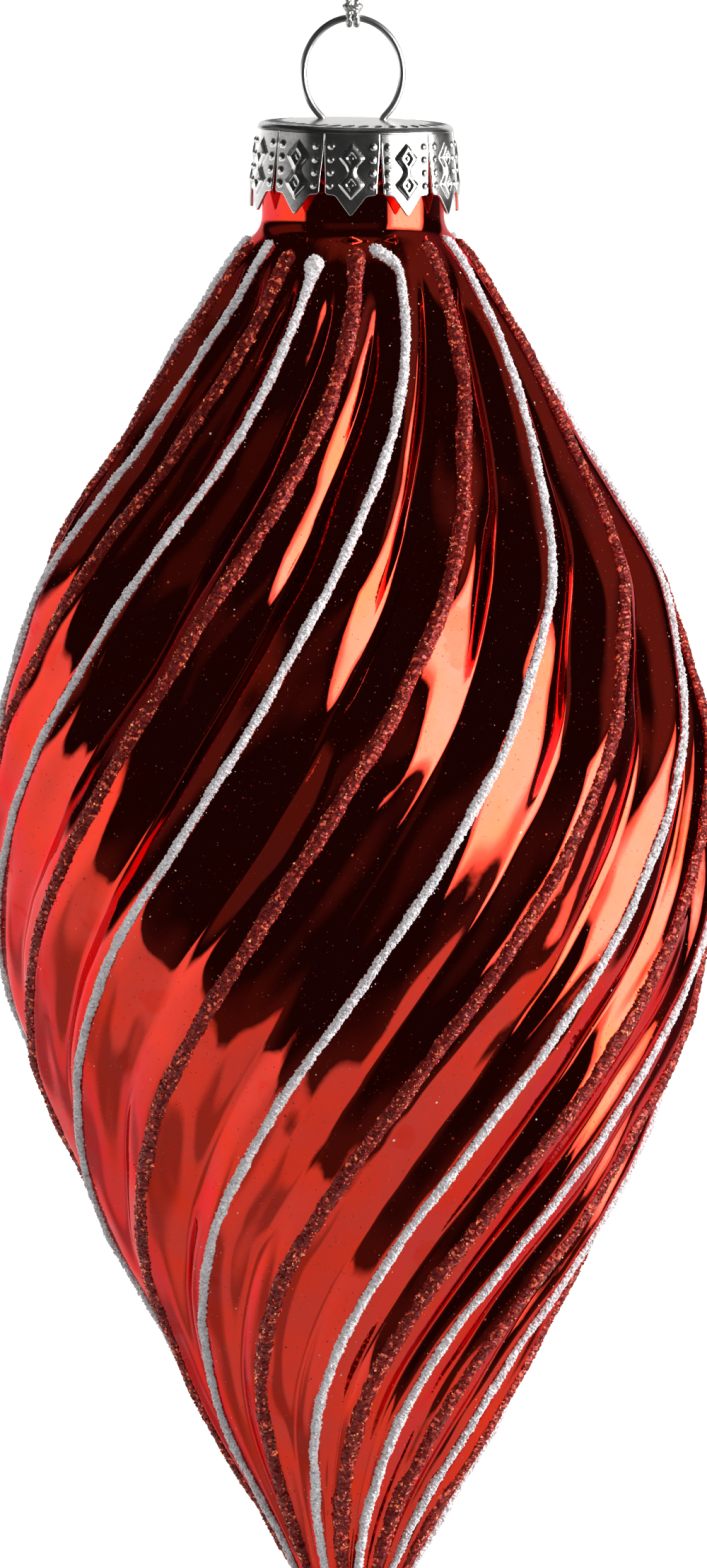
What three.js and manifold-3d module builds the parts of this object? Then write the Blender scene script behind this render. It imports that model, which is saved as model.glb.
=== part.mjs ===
// Icicle hanging ornament: a twisted, ribbed, hollow blown-glass drop with glitter
// trails along its ribs, a pressed tin crown cap, a spring wire hanger whose legs sit
// in the glass neck, and a thread loop hitched on the hanger's ring.
// Millimetres, +Z up. The origin is where a hook or twig carries the thread loop.
// Angles round the axis are in degrees from the front (-Y), growing towards +X.

import * as THREE from 'three';
import { mergeVertices } from 'three/addons/utils/BufferGeometryUtils.js';
import Module from 'manifold-3d';

const wasm = await Module();
wasm.setup();

// ---------------------------------------------------------------- driving dimensions
const GAP = 0.3;                    // clearance kept between neighbouring solids

// thread loop
const THREAD_D = 0.55;              // metallic thread diameter
const HITCH_HALF = 0.75;            // half length of the hitch along the ring wire
const HITCH_BORE_R = 0.66;
const HITCH_R = 1.2;

// wire hanger
const WIRE_R = 0.3;                 // spring wire radius
const RING_TOP = -42.0;             // top of the ring wire
const RING_A = 4.27;                // ring centreline half width
const RING_B = 4.80;                // ring centreline half height
const RING_ZC = RING_TOP - WIRE_R - RING_B;
const WIRE_TOP_Z = RING_TOP - WIRE_R;
const LEG_X = 2.55;                 // legs pass the cap this far from the axis
const LEG_FOOT_Z = -71.6;

// crown cap
const CAP_TOP = -51.0;              // middle of the gently domed top
const CAP_RIM = -51.6;              // top edge of the skirt
const CAP_R = 8.5;                  // skirt radius at the top
const CAP_FLARE_R = 9.12;           // skirt radius at the spike tips
const TIN = 0.27;                   // sheet thickness
const TABS = 11;
const TAB_PHASE = -1.8;             // angle of the front tab
const TAB_CORNER = -57.1;           // shoulders of the tabs
const SPIKE_TIP = -58.85;
const LEG_HOLE_R = 0.78;

// glass drop
const NECK_TOP = -52.25;
const NECK_R = 7.88;
const WALL = 0.85;
const TIP = -185.0;
const RIBS = 18;                    // ribs round the drop, white and red in turn
// valley depth as a share of the local radius: deep on the shoulder, shallow on the belly
const RIB_Z = [-60, -64, -68, -74, -80, -88, -95, -102, -110, -120, -135, -150, -165, -176, -185];
const RIB_SHARE = [0, 0.035, 0.075, 0.095, 0.1, 0.095, 0.082, 0.06, 0.043, 0.037, 0.038, 0.05, 0.055, 0.05, 0.03];
const VALLEY_LEAN = 0.08;           // how far a valley sits off the middle between two ribs, below the shoulder

// outer radius over the rib crests, from the neck down to the tip
const PROFILE = [
  [-52.25, 7.88], [-58.6, 7.88], [-59.8, 7.93], [-60.6, 8.22], [-61.5, 9.05], [-62.8, 10.15],
  [-65.2, 11.75], [-67.7, 13.34], [-70.1, 14.9], [-72.6, 16.35], [-75.0, 17.7], [-77.5, 19.05],
  [-80.0, 20.5], [-82.5, 22.2], [-85.0, 23.9], [-87.5, 25.45], [-90.0, 26.75], [-92.5, 27.7],
  [-95.0, 28.45], [-97.5, 29.15], [-100.0, 29.95], [-103.0, 30.75], [-106.5, 31.2], [-110.0, 31.4],
  [-114.0, 31.4], [-118.0, 31.2], [-122.0, 30.75], [-126.0, 29.95], [-130.0, 28.9], [-134.0, 27.5],
  [-138.0, 25.8], [-142.0, 24.0], [-146.0, 22.1], [-150.0, 20.05], [-154.0, 17.95], [-158.0, 15.95],
  [-162.0, 13.95], [-166.0, 11.7], [-170.0, 9.3], [-173.0, 7.55], [-176.0, 5.95], [-178.0, 4.9],
  [-180.0, 3.85], [-182.0, 2.8], [-183.6, 1.85], [-184.6, 1.05], [-185.0, 0.0],
];

// angle of each white rib at these heights: a right-handed twist, a little uneven
const CREST_Z = [-60.5, -66, -72, -80, -90, -100, -110, -120, -130, -140, -150, -160, -170, -178, -185];
const WHITE_DEG = [
  [-51.2, -53.3, -57.8, -67.7, -79.3, -91.2, -103.4, -116.9, -131.3, -146.5, -162.8, -177.8, -189.0, -196.2, -202.4],
  [-17.7, -20.0, -24.9, -34.0, -44.8, -55.9, -67.4, -80.3, -94.1, -108.9, -125.0, -139.5, -150.0, -157.0, -163.2],
  [23.9, 21.1, 15.7, 6.1, -5.0, -15.7, -27.0, -39.8, -53.5, -68.1, -84.3, -98.6, -108.5, -115.3, -121.5],
  [65.7, 62.5, 57.6, 49.7, 38.8, 28.2, 16.8, 4.8, -8.2, -23.0, -39.8, -54.1, -63.6, -70.3, -76.5],
  [107.9, 104.7, 99.9, 91.9, 81.0, 70.3, 58.7, 46.3, 33.0, 19.2, 4.4, -10.2, -19.8, -26.1, -32.4],
  [145.0, 141.7, 136.8, 128.4, 117.2, 105.9, 93.7, 80.6, 66.5, 51.9, 36.1, 20.5, 10.2, 3.9, -2.3],
  [183.8, 180.6, 175.6, 166.9, 155.4, 143.7, 131.3, 117.8, 103.2, 88.0, 71.6, 55.6, 43.3, 36.1, 30.1],
  [225.6, 222.5, 217.7, 208.7, 197.2, 185.4, 173.0, 159.5, 145.0, 129.8, 113.5, 97.9, 85.9, 78.6, 72.6],
  [267.2, 264.6, 259.9, 250.5, 238.9, 227.1, 214.8, 201.3, 186.8, 171.6, 155.3, 140.1, 128.5, 121.2, 115.1],
];

// heights of the rings of facets on the glass; the trails use the same heights
const OUTER_Z = [
  -59.5, -61.2, -63.2, -66.5, -71, -76, -81.5, -87, -92.5, -98.5, -105, -112, -119, -126,
  -133, -140, -147, -154, -160.5, -166.5, -172, -176.5, -180.5, -183.5, -184.75,
];
const INNER_Z = [-181, -176.5, -169, -160, -150, -140, -129, -118, -107, -96, -86, -77, -70, -65, -62, -60.2, -58.6];

// glitter trails
const WHITE_W = 1.1, WHITE_H = 0.5, WHITE_FROM = -61.2, WHITE_TO = -176.5;
const RED_W = 1.5, RED_H = 0.45, RED_FROM = -61.2, RED_TO = -176.5;

// ---------------------------------------------------------------- materials
const std = (color, roughness, metalness) => new THREE.MeshStandardMaterial({ color, roughness, metalness });
const glassMat = std(0xa80d10, 0.06, 0.9);
const frostMat = std(0xd6cfd0, 0.9, 0.0);
const glitterMat = std(0x7a1414, 0.6, 0.35);
const tinMat = std(0xc4c2be, 0.16, 1.0);
const wireMat = std(0xc9c7c3, 0.12, 1.0);
const threadMat = std(0xb9b6b2, 0.4, 0.7);

// ---------------------------------------------------------------- helpers
const rad = (d) => (d * Math.PI) / 180;

// smooth curve through a table, for x inside it
function hermite(xs, ys, x) {
  const up = xs[1] > xs[0];
  const n = xs.length;
  let i = 0;
  while (i < n - 2 && (up ? x > xs[i + 1] : x < xs[i + 1])) i++;
  const slope = (j) => {
    if (j === 0) return (ys[1] - ys[0]) / (xs[1] - xs[0]);
    if (j === n - 1) return (ys[n - 1] - ys[n - 2]) / (xs[n - 1] - xs[n - 2]);
    const h0 = xs[j] - xs[j - 1], h1 = xs[j + 1] - xs[j];
    const d0 = (ys[j] - ys[j - 1]) / h0, d1 = (ys[j + 1] - ys[j]) / h1;
    return (d0 * h1 + d1 * h0) / (h0 + h1);
  };
  const h = xs[i + 1] - xs[i];
  const t = Math.min(1, Math.max(0, (x - xs[i]) / h));
  const m0 = slope(i) * h, m1 = slope(i + 1) * h;
  const t2 = t * t, t3 = t2 * t;
  return (2 * t3 - 3 * t2 + 1) * ys[i] + (t3 - 2 * t2 + t) * m0 + (-2 * t3 + 3 * t2) * ys[i + 1] + (t3 - t2) * m1;
}

const PZ = PROFILE.map((p) => p[0]);
const PR = PROFILE.map((p) => p[1]);
const radiusAt = (z) => hermite(PZ, PR, Math.max(TIP, Math.min(NECK_TOP, z)));

function smooth(a, b, x) {
  const t = Math.min(1, Math.max(0, (x - a) / (b - a)));
  return t * t * (3 - 2 * t);
}
const depthAt = (z) => (z >= RIB_Z[0] ? 0 : radiusAt(z) * hermite(RIB_Z, RIB_SHARE, z));
const leanAt = (z) => VALLEY_LEAN * smooth(-80, -92, z);
// height of a rib's section: 0 in the valley, 1 on the crest
function ribShape(crest, z) {
  const m = smooth(-96, -112, z);
  return (1 - m) * (1 - (1 - crest) ** 2) + m * Math.sin((crest * Math.PI) / 2);
}

// rib i of 18: even ribs are the white ones, odd ribs lie halfway between
function whiteDeg(k, z) {
  const turn = Math.floor(k / 9), m = k - 9 * turn;
  const zz = Math.max(CREST_Z[CREST_Z.length - 1], Math.min(CREST_Z[0], z));
  return hermite(CREST_Z, WHITE_DEG[m], zz) + 360 * turn;
}
function ribDeg(i, z) {
  return i % 2 === 0 ? whiteDeg(i / 2, z) : (whiteDeg((i - 1) / 2, z) + whiteDeg((i + 1) / 2, z)) / 2;
}

// merge shared vertices, drop slivers, and turn the faces outward
function weld(geometry) {
  const g = geometry.clone();
  for (const name of Object.keys(g.attributes)) if (name !== 'position') g.deleteAttribute(name);
  const m = mergeVertices(g, 1e-5);
  const p = m.attributes.position;
  const src = m.index.array;
  const out = [];
  let volume = 0;
  const a = new THREE.Vector3(), b = new THREE.Vector3(), c = new THREE.Vector3();
  for (let i = 0; i < src.length; i += 3) {
    const [u, v, w] = [src[i], src[i + 1], src[i + 2]];
    if (u === v || v === w || u === w) continue;
    out.push(u, v, w);
    a.fromBufferAttribute(p, u); b.fromBufferAttribute(p, v); c.fromBufferAttribute(p, w);
    volume += a.dot(b.clone().cross(c));
  }
  if (volume < 0) for (let i = 0; i < out.length; i += 3) [out[i + 1], out[i + 2]] = [out[i + 2], out[i + 1]];
  const r = new THREE.BufferGeometry();
  r.setAttribute('position', new THREE.Float32BufferAttribute(Array.from(p.array), 3));
  r.setIndex(out);
  r.computeVertexNormals();
  return r;
}

const toManifold = (geometry) => {
  const g = weld(geometry);
  return new wasm.Manifold(new wasm.Mesh({
    numProp: 3,
    vertProperties: Float32Array.from(g.attributes.position.array),
    triVerts: Uint32Array.from(g.index.array),
  }));
};

function fromManifold(solid) {
  const m = solid.getMesh();
  const g = new THREE.BufferGeometry();
  g.setAttribute('position', new THREE.Float32BufferAttribute(Array.from(m.vertProperties), 3));
  g.setIndex(Array.from(m.triVerts));
  g.computeVertexNormals();
  return g;
}

const group = new THREE.Group();
const glassGroup = new THREE.Group();
group.add(glassGroup);
function add(name, geometry, material, parent = group) {
  const mesh = new THREE.Mesh(geometry, material);
  mesh.name = name;
  parent.add(mesh);
  return mesh;
}

const circle = (r, n) => {
  const s = new THREE.Shape();
  for (let i = 0; i < n; i++) {
    const t = (2 * Math.PI * i) / n;
    if (i === 0) s.moveTo(r * Math.cos(t), r * Math.sin(t));
    else s.lineTo(r * Math.cos(t), r * Math.sin(t));
  }
  s.closePath();
  return s;
};

const tube = (path, r, sides, steps) =>
  weld(new THREE.ExtrudeGeometry(circle(r, sides), { steps, extrudePath: path, bevelEnabled: false, curveSegments: 1 }));

// ---------------------------------------------------------------- thread loop
{
  const half = [
    [-0.42, -40.8], [-0.55, -36.0], [-0.9, -28.0], [-1.25, -20.0], [-1.5, -12.0],
    [-1.62, -6.5], [-1.6, -3.4], [-1.38, -1.3], [-0.8, -0.06],
  ];
  const pts = half.map(([x, z]) => new THREE.Vector3(x, 0, z));
  pts.push(new THREE.Vector3(0, 0, THREAD_D / 2));
  for (const [x, z] of half.slice().reverse()) pts.push(new THREE.Vector3(-x, 0, z));
  const path = new THREE.CatmullRomCurve3(pts, false, 'centripetal');
  add('hanging_thread', tube(path, THREAD_D / 2, 8, 60), threadMat);

  // overhand knot that closes the loop, with its two short tails
  const knotPts = [[0, 0.9], [0.55, 0.95], [0.92, 1.3], [1.0, 1.75], [0.85, 2.2], [0.45, 2.5], [0, 2.55]];
  const knot = new THREE.LatheGeometry(knotPts.map(([x, y]) => new THREE.Vector2(x, y)), 12);
  knot.rotateX(Math.PI / 2);
  let solid = toManifold(knot);
  for (const s of [-1, 1]) {
    const tail = new THREE.CatmullRomCurve3([
      new THREE.Vector3(s * 0.3, 0, 2.0), new THREE.Vector3(s * 0.55, 0.05, 3.2),
      new THREE.Vector3(s * 1.05, 0.1, 4.4), new THREE.Vector3(s * 1.7, 0.1, 5.4),
    ]);
    solid = solid.add(toManifold(tube(tail, THREAD_D / 2, 8, 5)));
  }
  add('thread_knot', weld(fromManifold(solid)), threadMat);
}

// ---------------------------------------------------------------- hitch on the ring
{
  const w = HITCH_HALF;
  const prof = [
    [HITCH_BORE_R, -w], [HITCH_R - 0.25, -w], [HITCH_R, -w + 0.3], [HITCH_R, w - 0.3],
    [HITCH_R - 0.25, w], [HITCH_BORE_R, w], [HITCH_BORE_R, -w],
  ];
  const g = new THREE.LatheGeometry(prof.map(([x, y]) => new THREE.Vector2(x, y)), 16);
  g.rotateZ(Math.PI / 2);
  g.translate(0, 0, WIRE_TOP_Z);
  add('thread_hitch', weld(g), threadMat);
}

// ---------------------------------------------------------------- wire hanger
{
  const half = [
    [3.5, LEG_FOOT_Z], [3.62, -70.4], [3.64, -68.4], [3.52, -65.6], [3.25, -62.4], [2.92, -59.8],
    [2.67, -57.6], [2.57, -55.8], [LEG_X, -54.4], [LEG_X, -52.8], [LEG_X, -51.6], [2.62, -51.0],
  ];
  const pts = half.map(([x, z]) => new THREE.Vector3(-x, 0, z));
  const t0 = Math.asin(3.02 / RING_A);            // ring starts this far from its lowest point
  const n = 22;
  for (let i = 0; i <= n; i++) {
    const t = t0 + ((2 * Math.PI - 2 * t0) * i) / n;
    pts.push(new THREE.Vector3(-RING_A * Math.sin(t), 0, RING_ZC - RING_B * Math.cos(t)));
  }
  for (const [x, z] of half.slice().reverse()) pts.push(new THREE.Vector3(x, 0, z));
  const path = new THREE.CatmullRomCurve3(pts, false, 'centripetal');
  path.arcLengthDivisions = 800;
  add('wire_hanger', tube(path, WIRE_R, 6, 86), wireMat);
}

// ---------------------------------------------------------------- crown cap
{
  const bottom = SPIKE_TIP - 0.6;
  const flare = (z) => CAP_R + ((CAP_FLARE_R - CAP_R) * (CAP_RIM - 0.4 - z)) / (CAP_RIM - 0.4 - SPIKE_TIP);
  const shell = [
    [0, CAP_TOP], [3.6, CAP_TOP - 0.06], [6.6, CAP_TOP - 0.3], [8.1, CAP_RIM], [CAP_R, CAP_RIM - 0.4],
    [flare(bottom), bottom], [flare(bottom) - TIN, bottom], [CAP_R - TIN, CAP_RIM - 0.5],
    [7.95, CAP_RIM - TIN], [6.55, CAP_TOP - 0.3 - TIN], [3.6, CAP_TOP - 0.06 - TIN], [0, CAP_TOP - TIN],
  ];
  const lathe = new THREE.LatheGeometry(shell.map(([x, y]) => new THREE.Vector2(x, y)), 44);
  lathe.rotateX(Math.PI / 2);
  let cap = toManifold(lathe);
  const half = CAP_FLARE_R * Math.tan(Math.PI / TABS);
  const notch = new THREE.Shape([
    new THREE.Vector2(-0.04, -52.6), new THREE.Vector2(-0.3, TAB_CORNER), new THREE.Vector2(-1.15, TAB_CORNER - 0.2),
    new THREE.Vector2(-half + 0.18, SPIKE_TIP), new THREE.Vector2(-half, bottom - 1), new THREE.Vector2(half, bottom - 1),
    new THREE.Vector2(half - 0.18, SPIKE_TIP), new THREE.Vector2(1.15, TAB_CORNER - 0.2), new THREE.Vector2(0.3, TAB_CORNER),
    new THREE.Vector2(0.04, -52.6),
  ]);
  for (let i = 0; i < TABS; i++) {
    const g = new THREE.ExtrudeGeometry(notch, { depth: 5, bevelEnabled: false });
    g.rotateX(Math.PI / 2);                        // (u, z) outline, swept along -Y
    g.translate(0, -6.2, 0);
    g.rotateZ(rad(TAB_PHASE + (360 / TABS) * (i + 0.5)));
    cap = cap.subtract(toManifold(g));
  }
  for (const s of [-1, 1]) {
    const hole = new THREE.CylinderGeometry(LEG_HOLE_R, LEG_HOLE_R, 3, 10);
    hole.rotateX(Math.PI / 2);
    hole.translate(s * (LEG_X + 0.05), 0, CAP_TOP);
    cap = cap.subtract(toManifold(hole));
  }
  add('crown_cap', weld(fromManifold(cap)), tinMat);
}

// ---------------------------------------------------------------- glass drop
{
  const innerR = (z) => {
    if (z >= -60) return NECK_R - WALL;
    const slope = (radiusAt(z + 0.4) - radiusAt(z - 0.4)) / 0.8;
    return Math.max(0.3, radiusAt(z) - WALL * Math.hypot(1, slope));
  };
  const rows = [];                                  // [radius, height, ribbed]
  rows.push([0, -182.6, false]);
  for (const z of INNER_Z) rows.push([innerR(z), z, true]);
  rows.push([NECK_R - WALL, NECK_TOP - 0.15, false], [NECK_R - WALL / 2, NECK_TOP, false], [NECK_R, NECK_TOP - 0.2, false]);
  for (const z of OUTER_Z) rows.push([radiusAt(z), z, true]);
  rows.push([0, TIP, false]);
  const per = 4;                                    // facets from one rib to the next
  const g = new THREE.LatheGeometry(rows.map(([r, z]) => new THREE.Vector2(r, z)), RIBS * per);
  g.rotateX(Math.PI / 2);
  const p = g.attributes.position;
  for (let c = 0; c <= RIBS * per; c++) {
    const i = Math.floor(c / per) , f = (c % per) / per;
    for (let j = 0; j < rows.length; j++) {
      const [r, z, ribbed] = rows[j];
      const lean = leanAt(z);
      const w = f < 0.5 ? f * (1 + 2 * lean) : 0.5 + lean + (f - 0.5) * (1 - 2 * lean);
      const a = rad(ribDeg(i, z) * (1 - w) + ribDeg(i + 1, z) * w);
      const crest = Math.abs(2 * f - 1);            // 1 on a rib, 0 in a valley
      const rr = ribbed ? r - depthAt(z) * (1 - ribShape(crest, z)) : r;
      p.setXYZ(c * rows.length + j, rr * Math.sin(a), -rr * Math.cos(a), z);
    }
  }
  add('glass_body', weld(g), glassMat, glassGroup);
}

// ---------------------------------------------------------------- glitter trails
function trail(i, width, height, from, to) {
  const zs = OUTER_Z.filter((z) => z <= from && z >= to);
  const w = width / 2;
  const section = new THREE.Shape([
    new THREE.Vector2(-w, 0), new THREE.Vector2(w, 0), new THREE.Vector2(0.55 * w, height), new THREE.Vector2(-0.55 * w, height),
  ]);
  const g = new THREE.ExtrudeGeometry(section, { steps: zs.length - 1, depth: zs.length - 1, bevelEnabled: false });
  const at = (z) => {
    const a = rad(ribDeg(i, z)), r = radiusAt(z);
    return new THREE.Vector3(r * Math.sin(a), -r * Math.cos(a), z);
  };
  const p = g.attributes.position;
  for (let v = 0; v < p.count; v++) {
    const j = Math.round(p.getZ(v));
    const z = zs[j];
    const a = rad(ribDeg(i, z));
    const slope = (radiusAt(z + 0.3) - radiusAt(z - 0.3)) / 0.6;
    const normal = new THREE.Vector3(Math.sin(a), -Math.cos(a), -slope).normalize();
    const along = at(z - 0.4).sub(at(z + 0.4)).normalize();
    const across = new THREE.Vector3().crossVectors(normal, along).normalize();
    const taper = j === 0 || j === zs.length - 1 ? 0.6 : 1;
    const q = at(z).addScaledVector(across, p.getX(v) * taper).addScaledVector(normal, GAP / Math.cos(rad(12)) + p.getY(v) * taper);
    p.setXYZ(v, q.x, q.y, q.z);
  }
  return weld(g);
}
for (let k = 0; k < 9; k++) {
  add(`white_frost_trail_${k + 1}`, trail(2 * k, WHITE_W, WHITE_H, WHITE_FROM, WHITE_TO), frostMat, glassGroup);
  add(`red_glitter_trail_${k + 1}`, trail(2 * k + 1, RED_W, RED_H, RED_FROM, RED_TO), glitterMat, glassGroup);
}

export default group;
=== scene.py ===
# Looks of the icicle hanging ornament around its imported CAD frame. Metres, +Z up.
import math
import bpy
import numpy as np
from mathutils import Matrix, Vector


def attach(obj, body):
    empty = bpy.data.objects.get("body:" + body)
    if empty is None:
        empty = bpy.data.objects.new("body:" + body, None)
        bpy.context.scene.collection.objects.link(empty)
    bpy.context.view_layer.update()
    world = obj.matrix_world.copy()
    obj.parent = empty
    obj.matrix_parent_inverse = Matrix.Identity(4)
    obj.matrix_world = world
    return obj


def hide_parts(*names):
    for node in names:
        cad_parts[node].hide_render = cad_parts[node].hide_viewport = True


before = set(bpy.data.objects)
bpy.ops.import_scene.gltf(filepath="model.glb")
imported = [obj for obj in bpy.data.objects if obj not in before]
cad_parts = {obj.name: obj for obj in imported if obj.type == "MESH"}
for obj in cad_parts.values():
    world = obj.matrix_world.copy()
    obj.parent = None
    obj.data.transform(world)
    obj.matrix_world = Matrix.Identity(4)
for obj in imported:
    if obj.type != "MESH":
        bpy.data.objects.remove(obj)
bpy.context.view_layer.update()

MM = 0.001
scene = bpy.context.scene

# ------------------------------------------------------------------ camera
CAM_D = 1150.0          # mm from the axis
CAM_EL = math.radians(6.0)
CAM_Z = -108.74         # height looked at
cam_data = bpy.data.cameras.new("camera")
cam = bpy.data.objects.new("camera", cam_data)
scene.collection.objects.link(cam)
cam.location = (0.061 * MM, -CAM_D * math.cos(CAM_EL) * MM, (CAM_Z + CAM_D * math.sin(CAM_EL)) * MM)
cam.rotation_euler = (math.pi / 2 - CAM_EL, 0, 0)
cam_data.sensor_fit = "AUTO"
cam_data.sensor_width = 36.0
cam_data.lens = 36.0 * 16.3 * CAM_D / 2217.0
cam_data.clip_start = 0.01
cam_data.clip_end = 100.0
scene.camera = cam
scene.view_settings.view_transform = "Standard"

# ------------------------------------------------------------------ numbers shared with the CAD
WIRE_R, RING_TOP, RING_A, RING_B = 0.3, -42.0, 4.27, 4.80
RING_ZC = RING_TOP - WIRE_R - RING_B
WIRE_TOP_Z = RING_TOP - WIRE_R
LEG_X, LEG_FOOT_Z = 2.55, -71.6
THREAD_D = 0.55
CAP_TOP, CAP_RIM, CAP_R, CAP_FLARE_R, TIN = -51.0, -51.6, 8.5, 9.12, 0.27
TABS, TAB_PHASE, TAB_CORNER, SPIKE_TIP = 11, -1.8, -57.1, -58.85
NECK_TOP, NECK_R, WALL, TIP, RIBS = -52.25, 7.88, 0.85, -185.0, 18
RIB_Z = np.array([-60, -64, -68, -74, -80, -88, -95, -102, -110, -120, -135, -150, -165, -176, -185.0])
RIB_SHARE = np.array([0, 0.035, 0.075, 0.095, 0.1, 0.095, 0.082, 0.06, 0.043, 0.037, 0.038, 0.05, 0.055, 0.05, 0.03])
VALLEY_LEAN = 0.08
PROFILE = np.array([
    [-52.25, 7.88], [-58.6, 7.88], [-59.8, 7.93], [-60.6, 8.22], [-61.5, 9.05], [-62.8, 10.15],
    [-65.2, 11.75], [-67.7, 13.34], [-70.1, 14.9], [-72.6, 16.35], [-75.0, 17.7], [-77.5, 19.05],
    [-80.0, 20.5], [-82.5, 22.2], [-85.0, 23.9], [-87.5, 25.45], [-90.0, 26.75], [-92.5, 27.7],
    [-95.0, 28.45], [-97.5, 29.15], [-100.0, 29.95], [-103.0, 30.75], [-106.5, 31.2], [-110.0, 31.4],
    [-114.0, 31.4], [-118.0, 31.2], [-122.0, 30.75], [-126.0, 29.95], [-130.0, 28.9], [-134.0, 27.5],
    [-138.0, 25.8], [-142.0, 24.0], [-146.0, 22.1], [-150.0, 20.05], [-154.0, 17.95], [-158.0, 15.95],
    [-162.0, 13.95], [-166.0, 11.7], [-170.0, 9.3], [-173.0, 7.55], [-176.0, 5.95], [-178.0, 4.9],
    [-180.0, 3.85], [-182.0, 2.8], [-183.6, 1.85], [-184.6, 1.05], [-185.0, 0.0]])
CREST_Z = np.array([-60.5, -66, -72, -80, -90, -100, -110, -120, -130, -140, -150, -160, -170, -178, -185.0])
WHITE_DEG = np.array([
    [-51.2, -53.3, -57.8, -67.7, -79.3, -91.2, -103.4, -116.9, -131.3, -146.5, -162.8, -177.8, -189.0, -196.2, -202.4],
    [-17.7, -20.0, -24.9, -34.0, -44.8, -55.9, -67.4, -80.3, -94.1, -108.9, -125.0, -139.5, -150.0, -157.0, -163.2],
    [23.9, 21.1, 15.7, 6.1, -5.0, -15.7, -27.0, -39.8, -53.5, -68.1, -84.3, -98.6, -108.5, -115.3, -121.5],
    [65.7, 62.5, 57.6, 49.7, 38.8, 28.2, 16.8, 4.8, -8.2, -23.0, -39.8, -54.1, -63.6, -70.3, -76.5],
    [107.9, 104.7, 99.9, 91.9, 81.0, 70.3, 58.7, 46.3, 33.0, 19.2, 4.4, -10.2, -19.8, -26.1, -32.4],
    [145.0, 141.7, 136.8, 128.4, 117.2, 105.9, 93.7, 80.6, 66.5, 51.9, 36.1, 20.5, 10.2, 3.9, -2.3],
    [183.8, 180.6, 175.6, 166.9, 155.4, 143.7, 131.3, 117.8, 103.2, 88.0, 71.6, 55.6, 43.3, 36.1, 30.1],
    [225.6, 222.5, 217.7, 208.7, 197.2, 185.4, 173.0, 159.5, 145.0, 129.8, 113.5, 97.9, 85.9, 78.6, 72.6],
    [267.2, 264.6, 259.9, 250.5, 238.9, 227.1, 214.8, 201.3, 186.8, 171.6, 155.3, 140.1, 128.5, 121.2, 115.1]])


def hermite(xs, ys, x):
    """Smooth curve through a table. xs may rise or fall; ys is (..., n)."""
    xs, ys, x = np.asarray(xs, float), np.asarray(ys, float), np.asarray(x, float)
    if xs[0] > xs[-1]:
        xs, ys = xs[::-1], ys[..., ::-1]
    h = np.diff(xs)
    d = np.diff(ys, axis=-1) / h
    m = np.empty_like(ys)
    m[..., 0], m[..., -1] = d[..., 0], d[..., -1]
    m[..., 1:-1] = (d[..., :-1] * h[1:] + d[..., 1:] * h[:-1]) / (h[:-1] + h[1:])
    i = np.clip(np.searchsorted(xs, x) - 1, 0, len(xs) - 2)
    t = np.clip((x - xs[i]) / h[i], 0, 1)
    t2, t3 = t * t, t * t * t
    return ((2 * t3 - 3 * t2 + 1) * ys[..., i] + (t3 - 2 * t2 + t) * m[..., i] * h[i]
            + (-2 * t3 + 3 * t2) * ys[..., i + 1] + (t3 - t2) * m[..., i + 1] * h[i])


def smooth(a, b, x):
    t = np.clip((x - a) / (b - a), 0, 1)
    return t * t * (3 - 2 * t)


def radius_at(z):
    return hermite(PROFILE[:, 0], PROFILE[:, 1], np.clip(z, TIP, NECK_TOP))


def depth_at(z):
    start = smooth(-60.8, -67.5, z)            # the valleys fade in below the neck
    return np.where(z >= RIB_Z[0], 0.0, start * radius_at(z) * hermite(RIB_Z, RIB_SHARE, np.clip(z, RIB_Z[-1], RIB_Z[0])))


def rib_crest(u, z):
    """1 on a rib, 0 in the valley, which leans off the middle below the shoulder."""
    f = u - np.floor(u)
    lean = VALLEY_LEAN * smooth(-80.0, -92.0, z)
    return np.where(f < 0.5 + lean, 1 - f / (0.5 + lean), 1 - (1 - f) / (0.5 - lean))


def rib_shape(crest, z):
    m = smooth(-96.0, -112.0, z)
    return (1 - m) * (1 - (1 - crest) ** 2) + m * np.sin(crest * math.pi / 2)


def rib_deg(u, z):
    """Angle of rib coordinate u (0..18, even whole numbers are the white ribs) at height z; u and z broadcast."""
    u, z = np.broadcast_arrays(np.asarray(u, float), np.asarray(z, float))
    zz = np.clip(z, CREST_Z[-1], CREST_Z[0])
    white = hermite(CREST_Z, WHITE_DEG, zz.ravel())             # (9, n)
    white = np.vstack([white - 360, white, white + 360])        # (27, n)
    w = u.ravel() / 2.0
    k = np.floor(w).astype(int)
    f = w - k
    n = np.arange(len(w))
    k9 = k + 9
    return (white[k9, n] * (1 - f) + white[k9 + 1, n] * f).reshape(u.shape)


class Waves:
    """Smooth, seeded 3-D noise made of plane waves. Lengths in mm."""

    def __init__(self, seed, shortest, longest, n=28, squash=(1, 1, 1)):
        r = np.random.RandomState(seed)
        d = r.normal(size=(n, 3))
        d /= np.linalg.norm(d, axis=1, keepdims=True)
        wl = np.exp(r.uniform(math.log(shortest), math.log(longest), n))
        self.k = d * (2 * math.pi / wl)[:, None] * np.array(squash)
        self.a = np.sqrt(2.0 / n) * np.ones(n)
        self.p = r.uniform(0, 2 * math.pi, n)

    def __call__(self, p):
        p = np.asarray(p, float)
        out = np.zeros(p.shape[:-1])
        for k, a, ph in zip(self.k, self.a, self.p):
            out += a * np.sin(p @ k + ph)
        return out


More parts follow.
